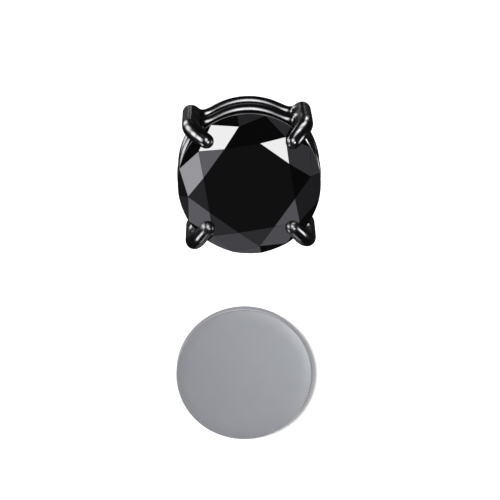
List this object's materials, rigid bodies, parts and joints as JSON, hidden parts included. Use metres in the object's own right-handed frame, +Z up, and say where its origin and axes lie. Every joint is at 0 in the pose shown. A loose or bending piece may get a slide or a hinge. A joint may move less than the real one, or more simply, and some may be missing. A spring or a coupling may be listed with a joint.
{
  "type": "magnetic stud earring",
  "caption": "Unworn magnetic stud earring: a round faceted black stone in a claw basket on a magnet, with a loose disc magnet for behind the lobe.",
  "frame": {"origin": "centre of the back face of the head's magnet, on the surface that the head and the disc lie on", "axes": "+Z up, along the stone's axis towards its table; +Y away from the loose disc; +X to the head's right seen from the disc"},
  "size_m": [0.0087, 0.0207, 0.0071],
  "materials": {
    "stone": "polished black cubic zirconia with flat facets",
    "black_plating": "polished black plating over metal wire",
    "dark_magnet": "black plated magnet, satin",
    "nickel": "nickel plated magnet, bright with fine scratches"
  },
  "bodies": {
    "root": {"stone": "stone", "setting": "black_plating", "front_magnet": "dark_magnet", "back_magnet": "nickel"}
  },
  "joints": []
}
